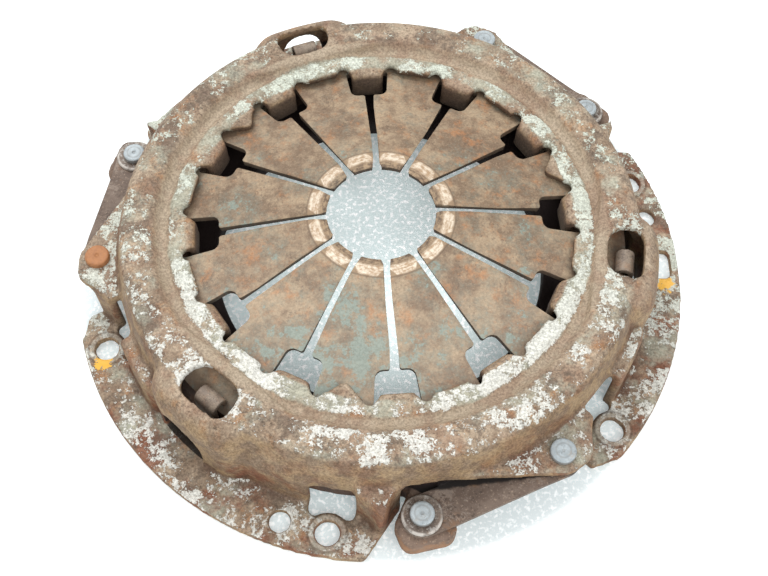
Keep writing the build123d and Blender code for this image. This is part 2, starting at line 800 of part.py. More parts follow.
def make_retracting_clip():
    """Sheet clip that holds the spring's rim down on the ridge, at station 0."""
    bend = clip_arch_width / 2
    inside_bend = bend - clip_thickness
    arch_radius = clip_outer_radius - bend
    arch_height = clip_top - bend
    leg_inner = clip_outer_radius - clip_thickness
    toe = arch_radius - bend
    toe_bottom = spring_top_at(toe) + running_gap
    hook_bottom = clip_hook_top - clip_thickness
    hook_end = leg_inner - clip_hook_reach
    corner = clip_thickness + clip_hook_round
    edges = [
        CenterArc((arch_radius, arch_height), bend, 0, 180),
        Line((toe, arch_height), (toe, toe_bottom)),
        Line((toe, toe_bottom), (toe + clip_thickness, toe_bottom)),
        Line((toe + clip_thickness, toe_bottom), (toe + clip_thickness, arch_height)),
        CenterArc((arch_radius, arch_height), inside_bend, 0, 180),
        Line((leg_inner, arch_height), (leg_inner, clip_hook_top + clip_hook_round)),
        CenterArc((leg_inner - clip_hook_round, clip_hook_top + clip_hook_round), clip_hook_round, 270, 90),
        Line((leg_inner - clip_hook_round, clip_hook_top), (hook_end, clip_hook_top)),
        Line((hook_end, clip_hook_top), (hook_end, hook_bottom)),
        Line((hook_end, hook_bottom), (clip_outer_radius - corner, hook_bottom)),
        CenterArc((clip_outer_radius - corner, clip_hook_top + clip_hook_round), corner, 270, 90),
        Line((clip_outer_radius, clip_hook_top + clip_hook_round), (clip_outer_radius, arch_height)),
    ]
    return turned(extrude(upright(make_face(edges)), clip_width / 2, both=True), clip_angle)


# ---- the assembly ----------------------------------------------------------------------
nodes = {
    "cover": make_cover(),
    "diaphragm_spring": make_diaphragm_spring(),
    "fulcrum_ring": make_fulcrum_ring(),
    "pressure_plate": make_pressure_plate(),
    "cover_rivets": make_cover_rivets(),
    "lug_rivets": make_lug_rivets(),
}
for layer in range(leaf_count):
    for number, leaf in enumerate(at_stations(make_strap_leaf(layer)), start=1):
        nodes[f"strap_{number}_leaf_{layer + 1}"] = leaf
for number, washer in enumerate(at_stations(make_washer()), start=1):
    nodes[f"lug_washer_{number}"] = washer
for number, clip in enumerate(at_stations(make_retracting_clip()), start=1):
    nodes[f"retracting_clip_{number}"] = clip

os.makedirs("parts", exist_ok=True)
for name, shape in nodes.items():
    shape.label = name
    export_step(shape, f"parts/{name}.step")
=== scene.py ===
import math

import bmesh
import bpy
import numpy as np
from mathutils import Matrix, Vector
from mathutils.geometry import delaunay_2d_cdt


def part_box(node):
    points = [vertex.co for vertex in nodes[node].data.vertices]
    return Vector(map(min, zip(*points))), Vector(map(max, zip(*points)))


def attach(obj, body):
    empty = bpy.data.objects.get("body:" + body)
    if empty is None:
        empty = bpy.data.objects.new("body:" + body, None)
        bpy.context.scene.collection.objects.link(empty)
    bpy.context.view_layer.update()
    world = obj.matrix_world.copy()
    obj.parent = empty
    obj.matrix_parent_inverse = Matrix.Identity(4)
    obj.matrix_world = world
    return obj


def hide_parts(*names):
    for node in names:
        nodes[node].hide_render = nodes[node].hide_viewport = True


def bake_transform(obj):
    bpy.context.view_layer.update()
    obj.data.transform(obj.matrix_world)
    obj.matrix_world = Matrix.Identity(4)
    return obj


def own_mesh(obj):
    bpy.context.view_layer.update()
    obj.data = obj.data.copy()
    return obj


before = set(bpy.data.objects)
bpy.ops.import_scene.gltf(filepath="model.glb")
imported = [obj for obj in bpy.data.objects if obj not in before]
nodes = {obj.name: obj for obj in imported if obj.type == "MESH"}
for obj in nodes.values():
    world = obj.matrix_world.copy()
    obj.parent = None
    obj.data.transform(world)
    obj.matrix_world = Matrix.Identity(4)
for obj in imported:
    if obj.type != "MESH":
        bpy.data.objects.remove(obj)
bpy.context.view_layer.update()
scene = bpy.context.scene
scene.view_settings.view_transform = "Standard"


# ---- camera ------------------------------------------------------------------------------
# One perspective camera on the -Y side. It looks down on the cover from 61 degrees and is
# turned a little about its own line of sight.
ELEVATION = math.radians(61.24)
ROLL = math.radians(1.42)
AIM = Vector((0.00168, -0.03195, 0.04023))
CAMERA_DISTANCE = 0.3723
SENSOR_MM = 36
LENS_MM = 49.22


def place_camera():
    """The camera stands back from the aim along a line raised by the elevation. Its right
    and up directions are turned about that line by the roll."""
    back = Vector((0, -math.cos(ELEVATION), math.sin(ELEVATION)))
    right = Vector((1, 0, 0))
    up = back.cross(right)
    turned_right = right * math.cos(ROLL) + up * math.sin(ROLL)
    turned_up = up * math.cos(ROLL) - right * math.sin(ROLL)
    data = bpy.data.cameras.new("camera")
    data.sensor_width = SENSOR_MM
    data.lens = LENS_MM
    data.clip_start = 0.01
    data.clip_end = 20
    camera = bpy.data.objects.new("camera", data)
    scene.collection.objects.link(camera)
    axes = Matrix((turned_right, turned_up, back)).transposed()
    camera.rotation_mode = "QUATERNION"
    camera.rotation_quaternion = axes.to_quaternion()
    camera.location = AIM + back * CAMERA_DISTANCE
    scene.camera = camera


place_camera()


# ---- backing -----------------------------------------------------------------------------
# Pale sheet with fine bright specks under the clutch, as wide as any view needs. Under the
# clutch and in the hub its colour is a darker teal-grey, which is painted shade. It is partly
# lit from within to the camera, a painted light that keeps it light in the clutch's shade and
# is weaker, as painted shade, in the pockets behind the drain openings.
MM = 0.001
DRAIN_ANGLE = 108.6
FLOOR_HALF = 4
WHITE = (255, 255, 255)


def tone(red, green, blue):
    """Linear colour for a tone given as it shows on a screen, 0 to 255."""
    return [((c / 255 + 0.055) / 1.055) ** 2.4 for c in (red, green, blue)] + [1]


class Tree:
    """Short calls that add one shader node each and return its output socket."""

    def __init__(self, tree):
        self.nodes = tree.nodes
        self.links = tree.links

    def node(self, kind, inputs=(), out=0, **settings):
        """A new node with its settings and inputs; out=None gives the node itself."""
        made = self.nodes.new("ShaderNode" + kind)
        for name, value in settings.items():
            setattr(made, name, value)
        for key, value in dict(inputs).items():
            if isinstance(value, bpy.types.NodeSocket):
                self.links.new(value, made.inputs[key])
            else:
                made.inputs[key].default_value = value
        return made if out is None else made.outputs[out]

    def use(self, group, inputs=(), out=0):
        """A node group with its inputs."""
        return self.node("Group", inputs, out, node_tree=group)

    def math(self, operation, *values, clamp=False):
        return self.node("Math", enumerate(values), operation=operation, use_clamp=clamp)

    def times(self, first, *others):
        """Product of two or more values."""
        for other in others:
            first = self.math("MULTIPLY", first, other)
        return first

    def plus(self, first, *others, clamp=False):
        """Sum of two or more values; a clamp keeps the whole sum within 0 to 1."""
        for other in others[:-1]:
            first = self.math("ADD", first, other)
        return self.math("ADD", first, others[-1], clamp=clamp)

    def minus(self, first, second, clamp=False):
        return self.math("SUBTRACT", first, second, clamp=clamp)

    def vector(self, operation, *values):
        return self.node("VectorMath", enumerate(values), operation=operation)

    def split(self, vector):
        """X, Y and Z parts of a vector, by name."""
        return self.node("SeparateXYZ", {0: vector}, out=None).outputs

    def flat_radius(self, position, spot=(0, 0)):
        """Distance in plan from the upright line through a spot."""
        flat = self.vector("SUBTRACT", position, (*spot, 0)) if any(spot) else position
        flat = self.vector("MULTIPLY", flat, (1, 1, 0))
        return self.node("VectorMath", {0: flat}, out="Value", operation="LENGTH")

    def distance(self, position, spot):
        """Distance from one spot."""
        return self.node("VectorMath", {0: position, 1: spot}, out="Value", operation="DISTANCE")

    def step(self, value, low, high, to_low=0.0, to_high=1.0):
        """Smooth step of a value between two limits."""
        ends = {0: value, 1: low, 2: high, 3: to_low, 4: to_high}
        return self.node("MapRange", ends, interpolation_type="SMOOTHSTEP")

    def band(self, value, low, high, soft):
        """1 between two limits and 0 outside them, with soft ends."""
        rise = self.step(value, low - soft, low + soft)
        return self.times(rise, self.step(value, high + soft, high - soft))

    def mix(self, amount, a, b, blend="MIX"):
        pair = {0: amount, 6: a, 7: b}
        return self.node("Mix", pair, out=2, data_type="RGBA", blend_type=blend)

    def noise(self, position, size, detail=4.0, rough=0.55, shift=0.0):
        """Cloudy values of one feature size in millimetres, about 0.5 in the middle."""
        if shift:
            position = self.vector("ADD", position, (shift, 2.3 * shift, -1.7 * shift))
        ends = {"Vector": position, "Scale": 1 / size, "Detail": detail, "Roughness": rough}
        return self.node("TexNoise", ends)

    def uneven(self, position, amount, *field):
        """Noise about zero, as much as an amount either way."""
        return self.times(self.minus(self.noise(position, *field), 0.5), amount)

    def turn(self, parts):
        """Angle round the clutch axis, in radians."""
        return self.math("ARCTAN2", parts["Y"], parts["X"])

    def turn_from(self, turn, degrees, half):
        """Angle from the nearest of the directions that repeat round the axis every two
        halves from one of them."""
        turn = self.minus(turn, math.radians(degrees))
        return self.math("WRAP", turn, math.radians(half), math.radians(-half))


def make_group(name, inputs, outputs):
    """Empty node group with its sockets: its tree, tree helper, inputs and outputs."""
    tree = bpy.data.node_groups.new(name, "ShaderNodeTree")
    for label, kind, value in inputs:
        socket = tree.interface.new_socket(label, in_out="INPUT", socket_type="NodeSocket" + kind)
        if value is not None:
            socket.default_value = value
    for label, kind in outputs:
        tree.interface.new_socket(label, in_out="OUTPUT", socket_type="NodeSocket" + kind)
    entry = tree.nodes.new("NodeGroupInput")
    leave = tree.nodes.new("NodeGroupOutput")
    return tree, Tree(tree), entry.outputs, leave.inputs


def make_place_group():
    """Where a point is: position in millimetres, distance from the clutch axis, height,
    and the upward part of its normal."""
    tree, t, _, leave = make_group(
        "place", [],
        [("Position", "Vector"), ("Radius", "Float"), ("Height", "Float"), ("Up", "Float")],
    )
    coordinates = t.nodes.new("ShaderNodeTexCoord")
    position = t.vector("MULTIPLY", coordinates.outputs["Object"], (1000, 1000, 1000))
    t.links.new(position, leave["Position"])
    t.links.new(t.flat_radius(position), leave["Radius"])
    t.links.new(t.split(position)["Z"], leave["Height"])
    t.links.new(t.split(coordinates.outputs["Normal"])["Z"], leave["Up"])
    return tree


def make_relief_group():
    """Surface normal for a height in millimetres, with fine grain added to it."""
    tree, t, entry, leave = make_group(
        "relief",
        [("Position", "Vector", None), ("Height", "Float", 0.0), ("Depth", "Float", 0.12),
         ("Grain", "Float", 0.03)],
        [("Normal", "Vector")],
    )
    grain = t.times(t.noise(entry["Position"], 0.55, 3, 0.6, 19), entry["Grain"])
    height = t.plus(t.times(entry["Height"], entry["Depth"]), grain)
    bump = t.node("Bump", {"Height": height, "Distance": MM, "Strength": 1.0})
    t.links.new(bump, leave["Normal"])
    return tree


PLACE = make_place_group()
RELIEF = make_relief_group()


def new_material(name, metallic=0.0, specular=0.35):
    """Material with a Principled shader, the helper for its tree, and the shader's inputs."""
    material = bpy.data.materials.new(name)
    material.use_nodes = True
    shader = material.node_tree.nodes["Principled BSDF"]
    shader.inputs["Metallic"].default_value = metallic
    shader.inputs["Specular IOR Level"].default_value = specular
    return material, Tree(material.node_tree), shader.inputs


def places(t):
    """Position in millimetres, radius, height and upward part of the normal."""
    outputs = t.use(PLACE, out=None).outputs
    return outputs["Position"], outputs["Radius"], outputs["Height"], outputs["Up"]


def relief(t, position, height, depth, grain):
    """Surface normal for a height field scaled by a depth, and for grain on top."""
    return t.use(RELIEF, {"Position": position, "Height": height, "Depth": depth, "Grain": grain})


def finish_material(t, shader, color, rough, normal):
    """Gives the shader its colour, roughness (one number or a field) and normal."""
    t.links.new(color, shader["Base Color"])
    if isinstance(rough, bpy.types.NodeSocket):
        t.links.new(rough, shader["Roughness"])
    else:
        shader["Roughness"].default_value = rough
    t.links.new(normal, shader["Normal"])


def backing_material():
    """Off-white with specks, a darker teal-grey under the clutch and in the hub as painted
    shade. Its own light, a painted light for the camera, is strongest in the hub and falls
    away as painted shade in the dark pockets behind the drain openings."""
    material, t, shader = new_material("floor_backing", specular=0.1)
    position, radius, _, _ = places(t)
    parts = t.split(position)
    specks = t.step(t.noise(position, 1.7, 3, 0.65), 0.50, 0.64)
    # Painted shade: the floor's colour is a darker teal-grey under the clutch and in the hub.
    painted_shade_beneath = t.band(radius, 60, 118.5, 1.5)
    hub_painted_shade = t.step(radius, 62, 58)
    shaded = t.step(radius, 130, 90)
    color = t.mix(t.times(specks, 0.6), tone(236, 243, 244), tone(253, 254, 254))
    color = t.mix(painted_shade_beneath, color, t.mix(specks, tone(196, 207, 209), tone(240, 246, 246)))
    color = t.mix(hub_painted_shade, color, t.mix(specks, tone(214, 226, 227), tone(*WHITE)))
    # Painted light and shade: the camera sees the floor's own light, teal-grey near the clutch,
    # strongest in the hub and weaker in the pockets behind the drain openings.
    glow = t.mix(specks, tone(202, 216, 216), tone(*WHITE))
    glow = t.mix(shaded, tone(*WHITE), glow)

    centre = t.times(t.step(radius, 62, 26), t.step(parts["Y"], 26, -22, 0.35, 0.9))
    open_floor = t.step(radius, 112, 135)
    from_drain = t.math("ABSOLUTE", t.turn_from(t.turn(parts), DRAIN_ANGLE, 60))
    beside_drain = t.step(from_drain, math.radians(7), math.radians(6), 0.0, 0.34)
    pocket = t.times(t.band(radius, 94, 104.6, 1.5), beside_drain)
    level = t.plus(0.36, t.times(centre, 0.66), t.times(open_floor, 0.1))
    level = t.minus(level, pocket)
    path = t.nodes.new("ShaderNodeLightPath").outputs
    seen = t.math("MAXIMUM", path["Is Camera Ray"], path["Is Glossy Ray"])
    t.links.new(glow, shader["Emission Color"])
    t.links.new(t.times(seen, level), shader["Emission Strength"])
    finish_material(t, shader, color, 0.8, relief(t, position, specks, 0.02, 0.0))
    return material


def make_floor():
    """One square at height 0."""
    mesh = bpy.data.meshes.new("floor")
    corners = [(x * FLOOR_HALF, y * FLOOR_HALF, 0) for x, y in ((-1, -1), (1, -1), (1, 1), (-1, 1))]
    mesh.from_pydata(corners, [], [(0, 1, 2, 3)])
    floor = bpy.data.objects.new("floor", mesh)
    scene.collection.objects.link(floor)
    floor.data.materials.append(backing_material())


make_floor()


# ---- lamps -------------------------------------------------------------------------------
# White sky all round, a soft key lamp from behind on the left, and a soft fill lamp from
# the front on the right.
WORLD_STRENGTH = 0.70


def make_world():
    """White world of one strength."""
    world = bpy.data.worlds.new("studio")
    scene.world = world
    world.use_nodes = True
    background = world.node_tree.nodes["Background"].inputs
    background["Color"].default_value = (1, 1, 1, 1)
    background["Strength"].default_value = WORLD_STRENGTH


def area_light(name, place, size, power):
    """Soft square light that looks at the clutch."""
    data = bpy.data.lights.new(name, "AREA")
    data.size = size
    data.energy = power
    light = bpy.data.objects.new(name, data)
    scene.collection.objects.link(light)
    light.location = place
    towards = Vector((0, 0, 0.02)) - light.location
    light.rotation_mode = "QUATERNION"
    light.rotation_quaternion = towards.to_track_quat("-Z", "Y")


make_world()
area_light("key", (-0.30, 0.50, 0.85), 0.6, 6.5)
area_light("fill", (0.30, -0.70, 0.80), 0.8, 5.0)


# ---- pressed steel cover -----------------------------------------------------------------
# Thick sheet pressed to a dish with tabs, feet and ears, and bolted down by its flange.
# Flaked pale green paint is left on the lands, crown and flange, over brown rust; the
# groove round the lands is bare and smooth, the walls are ochre, the corners dark.
STATIONS = (0, 120, 240)
LAND = (72.2, 79.3)
GROOVE = (79.3, 84.0)
CROWN = (84.6, 97.0)
LEDGE_HEIGHTS = (22.2, 24.6)
BOLT_CIRCLE = 111.1
BOLT_ANGLES = (81.7, 141.7)
BOSS_TOP = 3.9
DAB_CIRCLE = 113.6
DAB_ANGLES = (204.3, 356.6)
SHEET = 3.4
TAB_ANGLE = 5.9
TAB_PITCH = 30
FULL_SHADE = tone(26, 20, 17)
# Of each drain opening's arch: half the width, foot, inner and outer end, rise and shift.
DRAIN_HALF = 9.5
DRAIN_FOOT = 3.45
DRAIN_DEPTHS = (98.5, 109.0)
DRAIN_RISES = (24.5, 18.0, 22.0)
DRAIN_SHIFTS = (2.0, 0.0, 0.0)
COVER_CELL = 1.12


def on_circle(radius, degrees):
    """Plan point at a radius and an angle: x is r cos(a) and y is r sin(a)."""
    return (radius * math.cos(math.radians(degrees)), radius * math.sin(math.radians(degrees)))


def read_points(mesh):
    """A mesh's points, one row of x, y and z each."""
    points = np.zeros(len(mesh.vertices) * 3, np.float32)
    mesh.vertices.foreach_get("co", points)
    return points.reshape(-1, 3).astype(float)


def read_edges(mesh):
    """A mesh's edges, one row of two point numbers each."""
    ends = np.zeros(len(mesh.edges) * 2, np.int32)
    mesh.edges.foreach_get("vertices", ends)
    return ends.reshape(-1, 2)


def neighbour_mean(values, ends):
    """Mean of each point's neighbours along the edges."""
    total = np.zeros_like(values)
    count = np.zeros(len(values))
    for here, there in ((0, 1), (1, 0)):
        np.add.at(count, ends[:, here], 1)
        for axis in range(values.shape[1]):
            moved = values[ends[:, there], axis]
            total[:, axis] += np.bincount(ends[:, here], moved, len(values))
    return total / np.maximum(count, 1)[:, None]


def mark_form(mesh, points, ends, voxel):
    """Stores how far each point stands proud of the smoothed surface, in millimetres.
    'edge' is measured against a little smoothing and 'hollow' against much more of it;
    both are positive on convex parts and negative in corners."""
    normals = np.zeros(len(mesh.vertices) * 3, np.float32)
    mesh.vertex_normals.foreach_get("vector", normals)
    normals = normals.reshape(-1, 3)
    smooth = points
    for name, reach in (("edge", 0.9), ("hollow", 3.2)):
        for _ in range(max(1, int(round((reach / voxel) ** 2)))):
            smooth = neighbour_mean(smooth, ends)
        proud = ((points - smooth) * normals).sum(1) / MM
        layer = mesh.attributes.new(name, "FLOAT", "POINT")
        layer.data.foreach_set("value", proud.astype(np.float32))


def form(t, name):
    """One of the two values that mark_form stores."""
    return t.node("Attribute", out=2, attribute_name=name)


def rebuilt_in_cells(node, voxel, name, cutter=None):
    """A new piece from a CAD node, its mesh rebuilt from cells of one size after a cutter
    has been taken away from it."""
    mesh = nodes[node].data.copy()
    mesh.materials.clear()
    piece = bpy.data.objects.new(name, mesh)
    scene.collection.objects.link(piece)
    if cutter is not None:
        opening = piece.modifiers.new("opening", "BOOLEAN")
        opening.operation = "DIFFERENCE"
        opening.solver = "EXACT"
        opening.object = cutter
    remesh = piece.modifiers.new("cells", "REMESH")
    remesh.mode = "VOXEL"
    remesh.voxel_size = voxel * MM
    remesh.adaptivity = 0
    graph = bpy.context.evaluated_depsgraph_get()
    rebuilt = bpy.data.meshes.new_from_object(piece.evaluated_get(graph))
    piece.modifiers.clear()
    piece.data = rebuilt
    bpy.data.meshes.remove(mesh)
    return piece


def soften(node, body, voxel, rounds, name, cutter=None, rounder=()):
    """Copy of a CAD node with its sharp edges worn round, standing in for the node. Each
    round moves every point half way to the mean of its neighbours and then a quarter back,
    which rounds edges without thinning walls. A rounder is a function that gives each
    point's share of some more rounds, and the number of these rounds."""
    piece = rebuilt_in_cells(node, voxel, name, cutter)
    mesh = piece.data
    points = read_points(mesh)
    ends = read_edges(mesh)
    for _ in range(rounds):
        for share in (0.5, -0.25):
            points = points + share * (neighbour_mean(points, ends) - points)
    for weigh, more in rounder:
        weight = weigh(points / MM)[:, None]
        for _ in range(more):
            points = points + 0.5 * weight * (neighbour_mean(points, ends) - points)
    low, high = (np.array(corner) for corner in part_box(node))
    points = np.clip(points, low, high)
    mesh.vertices.foreach_set("co", points.astype(np.float32).ravel())
    mesh.update()
    mesh.polygons.foreach_set("use_smooth", [True] * len(mesh.polygons))
    mark_form(mesh, points, ends, voxel)
    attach(piece, body)
    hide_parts(node)
    return piece


def make_patch_group():
    """Ragged islands, such as paint that has flaked: 1 on an island and 0 off it.
    A cloudy field at the island size is roughened by two finer ones and cut at a level."""
    tree, t, entry, leave = make_group(
        "patches",
        [("Position", "Vector", None), ("Size", "Float", 12.0), ("Cover", "Float", 0.5),
         ("Ragged", "Float", 0.5), ("Seed", "Float", 0.0)],
        [("Mask", "Float"), ("Field", "Float")],
    )
    shift = t.node("CombineXYZ", {0: entry["Seed"], 1: entry["Seed"], 2: entry["Seed"]})
    moved = t.vector("ADD", entry["Position"], shift)
    scale = t.math("DIVIDE", 1.0, entry["Size"])
    fields = []
    for factor, detail in ((1.0, 3.0), (4.5, 4.0), (16.0, 3.0)):
        ends = {"Vector": moved, "Scale": t.times(scale, factor), "Detail": detail, "Roughness": 0.6}
        fields.append(t.node("TexNoise", ends))
    fine = t.plus(t.minus(fields[1], 0.5), t.times(t.minus(fields[2], 0.5), 0.7))
    field = t.plus(fields[0], t.times(fine, entry["Ragged"]))
    level = t.node("MapRange", {0: entry["Cover"], 1: 0.0, 2: 1.0, 3: 0.82, 4: 0.20})
    above = t.minus(field, level)
    t.links.new(t.node("MapRange", {0: above, 1: -0.012, 2: 0.022, 3: 0.0, 4: 1.0}), leave["Mask"])
    t.links.new(above, leave["Field"])
    return tree


def make_rust_group():
    """Rust in four tones: a large cloud, mottling on it, and dark and bright specks."""
    tree, t, entry, leave = make_group(
        "rust",
        [("Position", "Vector", None), ("Pale", "Color", tone(182, 150, 128)),
         ("Deep", "Color", tone(140, 104, 84)), ("Bright", "Color", tone(196, 132, 84)),
         ("Dark", "Color", tone(88, 66, 54)), ("Speck", "Float", 1.0)],
        [("Color", "Color"), ("Height", "Float")],
    )
    p = entry["Position"]
    cloud = t.noise(p, 21, 3, 0.6)
    mottle = t.noise(p, 4.6, 5, 0.65, 31)
    grains = t.noise(p, 1.1, 3, 0.6, 57)
    cloudy = t.plus(t.times(cloud, 0.5), t.times(mottle, 0.5))
    base = t.mix(t.step(cloudy, 0.40, 0.61), entry["Deep"], entry["Pale"])
    orange = t.step(t.noise(p, 8.5, 5, 0.7, 83), 0.52, 0.70)
    base = t.mix(t.times(orange, 0.75), base, entry["Bright"])
    grimy = t.plus(t.times(grains, 0.62), t.times(t.noise(p, 9.5, 4, 0.6, 11), 0.38))
    dark = t.step(grimy, 0.54, 0.64)
    base = t.mix(t.times(dark, entry["Speck"], 0.62), base, entry["Dark"])
    light = t.step(t.noise(p, 0.8, 3, 0.6, 7), 0.57, 0.70)
    base = t.mix(t.times(light, 0.30), base, tone(214, 190, 166))
    height = t.plus(t.times(mottle, 0.6), t.times(grains, 0.4))
    t.links.new(base, leave["Color"])
    t.links.new(t.minus(height, t.times(dark, 0.35)), leave["Height"])
    return tree


PATCHES = make_patch_group()
RUST = make_rust_group()


def rust_on(t, position, pale, deep, bright, dark, speck=1.0):
    """Colour and height of rust in four tones."""
    ends = {"Position": position, "Pale": tone(*pale), "Deep": tone(*deep),
            "Bright": tone(*bright), "Dark": tone(*dark), "Speck": speck}
    outputs = t.use(RUST, ends, out=None).outputs
    return outputs["Color"], outputs["Height"]


def patches_on(t, position, size, cover, ragged, seed):
    """Mask and field of ragged islands."""
    ends = {"Position": position, "Size": size, "Cover": cover, "Ragged": ragged, "Seed": seed}
    outputs = t.use(PATCHES, ends, out=None).outputs
    return outputs["Mask"], outputs["Field"]


def grainy(t, position, color, amount, grain):
    """Colour with fine dark grain in it."""
    fine = t.step(t.noise(position, 0.9, 5, 0.75, 51), 0.36, 0.64)
    darker = t.mix(1.0, color, t.mix(fine, tone(*grain), tone(*WHITE)), "MULTIPLY")
    return t.mix(amount, color, darker)


def boss_rings(t, position, up, color):
    """Pale worn ring on each bolt boss, and a painted shade line round the boss's edge."""
    for first in BOLT_ANGLES:
        for turn in STATIONS:
            spot = (*on_circle(BOLT_CIRCLE, first + turn), BOSS_TOP)
            from_hole = t.distance(position, spot)
            worn = t.times(t.band(from_hole, 4.9, 6.5, 0.25), t.step(up, 0.5, 0.8), 0.45)
            color = t.mix(worn, color, tone(206, 200, 186))
            # Painted shade line along the edge of each bolt boss.
            outline = t.times(t.band(from_hole, 6.5, 7.4, 0.3), 0.5)
            color = t.mix(outline, color, tone(104, 86, 72))
    return color


def paint_dabs(t, position, color):
    """Two ragged dabs of orange-yellow paint on the flange."""
    for angle in DAB_ANGLES:
        away = t.distance(position, (*on_circle(DAB_CIRCLE, angle), SHEET))
        away = t.plus(away, t.uneven(position, 12.0, 2.6, 5, 0.75, 45))
        color = t.mix(t.times(t.step(away, 3.4, 2.7), 0.92), color, tone(244, 188, 76))
    return color


def cover_material():
    """Rust and bare places first, then what is left of the paint, then wear, dirt and painted shade."""
    material, t, shader = new_material("cover_paint_and_rust", specular=0.3)
    position, radius, height, up = places(t)
    edge = form(t, "edge")
    hollow = form(t, "hollow")
    parts = t.split(position)
    near_side = t.step(parts["Y"], 20, -70)
    right = t.step(parts["X"], 25, 80)
    facing_up = t.step(up, 0.45, 0.85)
    wall = t.minus(1.0, facing_up, clamp=True)
    inside = t.step(radius, 80.5, 79.0)
    land = t.times(t.band(radius, *LAND, 1.2), t.step(height, 31, 34.5))
    groove = t.times(t.band(radius, *GROOVE, 0.9), t.step(height, 29, 31))
    crown = t.times(t.band(radius, *CROWN, 1.8), t.step(height, 33, 37))
    ledge = t.times(t.band(height, *LEDGE_HEIGHTS, 0.5), facing_up, t.step(radius, 99, 101))
    flange = t.times(t.step(height, 6.0, 4.2), facing_up)

    # Rust, ochre walls, the bare groove, and red and dark places.
    color, rust_height = rust_on(t, position, (197, 177, 153), (152, 131, 110),
                                 (184, 136, 94), (92, 76, 64))
    ochre = t.step(t.noise(position, 7, 5, 0.65, 23), 0.42, 0.58)
    ochre = t.mix(ochre, tone(128, 102, 78), tone(178, 148, 108))
    color = t.mix(t.times(wall, 0.62), color, ochre)
    bare = t.mix(t.noise(position, 6, 4, 0.5, 5), tone(170, 152, 128), tone(200, 184, 162))
    color = t.mix(t.times(groove, 0.85), color, bare)
    red = t.step(t.noise(position, 16, 5, 0.65, 71), 0.47, 0.61)
    red = t.times(red, t.plus(0.26, t.times(t.step(height, 31, 12), 0.5)))
    color = t.mix(red, color, tone(136, 80, 56))
    ear = t.times(ledge, t.step(radius, 102, 107, 0.0, 0.35))
    color = t.mix(ear, color, tone(120, 96, 82))
    stain = t.times(t.step(t.noise(position, 13, 6, 0.75, 91), 0.50, 0.58), 0.75)
    stained = t.math("MAXIMUM", t.times(crown, 0.85), t.times(flange, 0.8))
    color = t.mix(t.times(stain, stained), color, tone(112, 98, 86))
    corner = t.times(t.step(hollow, -0.10, -0.75), t.minus(1.0, groove, clamp=True))
    color = t.mix(t.times(corner, 0.72), color, tone(92, 64, 50))
    cut_face = t.times(inside, t.step(up, 0.62, 0.25), 0.85)
    color = t.mix(cut_face, color, tone(86, 68, 56))

    # Thin film that is left of the paint, then the flakes themselves.
    film = t.plus(t.times(land, 0.78), t.times(crown, 0.42), t.times(flange, 0.34),
                  t.times(ledge, 0.40), clamp=True)
    cloud = t.noise(position, 17, 6, 0.68, 63)
    veil = t.step(t.plus(cloud, t.times(film, 0.30)), 0.60, 0.80)
    color = t.mix(t.times(veil, t.step(film, 0.05, 0.3), 0.72), color, tone(192, 196, 178))
    on_land = t.plus(0.46, t.times(near_side, 0.13), t.times(right, 0.12))
    on_crown = t.plus(0.33, t.times(near_side, 0.10))
    on_flange = t.step(radius, 104, 112, 0.26, 0.44)
    amount = t.plus(t.times(land, on_land), t.times(crown, on_crown), t.times(ledge, 0.40),
                    t.times(flange, on_flange), clamp=True)
    uneven = t.uneven(position, 0.55, 36, 2, 0.5, 3)
    amount = t.plus(amount, t.times(uneven, t.step(amount, 0.1, 0.3)))
    flakes, _ = patches_on(t, position, 11.0, amount, 0.85, 12.0)
    flakes = t.times(flakes, t.step(amount, 0.05, 0.22), t.step(edge, 0.34, 0.16))
    paint = t.mix(t.noise(position, 26, 3, 0.5, 63), tone(208, 216, 200), tone(234, 238, 226))
    paint = t.mix(near_side, paint, tone(240, 240, 232))
    pricks = t.step(t.noise(position, 1.2, 4, 0.7, 37), 0.52, 0.64)
    color = t.mix(t.times(flakes, t.minus(0.96, t.times(pricks, 0.36))), color, paint)

    # Worn edges, bolt bosses with a painted shade line, grain, dabs, and painted shade in the dark
    # pockets behind the openings.
    brink = t.step(edge, 0.12, 0.40)
    color = t.mix(t.times(brink, t.step(radius, 79, 83), 0.35), color, tone(176, 154, 128))
    color = t.mix(t.times(brink, inside, 0.55), color, tone(112, 92, 74))
    color = boss_rings(t, position, up, color)
    color = grainy(t, position, color, 0.55, (120, 116, 112))
    color = paint_dabs(t, position, color)
    # Painted shade: nearly black on the flange under the wall, behind each drain opening.
    from_drain = t.math("ABSOLUTE", t.turn_from(t.turn(parts), DRAIN_ANGLE, 60))
    behind = t.times(t.step(radius, 105.0, 104.7), t.step(height, 23.0, 21.0),
                     t.step(from_drain, math.radians(5.9), math.radians(5.3)))
    color = t.mix(t.times(behind, 0.92), color, FULL_SHADE)
    rough = t.plus(0.58, t.times(t.noise(position, 3, 4, 0.6, 15), 0.26))
    raised = t.plus(rust_height, t.times(flakes, 0.35))
    finish_material(t, shader, color, rough, relief(t, position, raised, 0.26, 0.10))
    return material


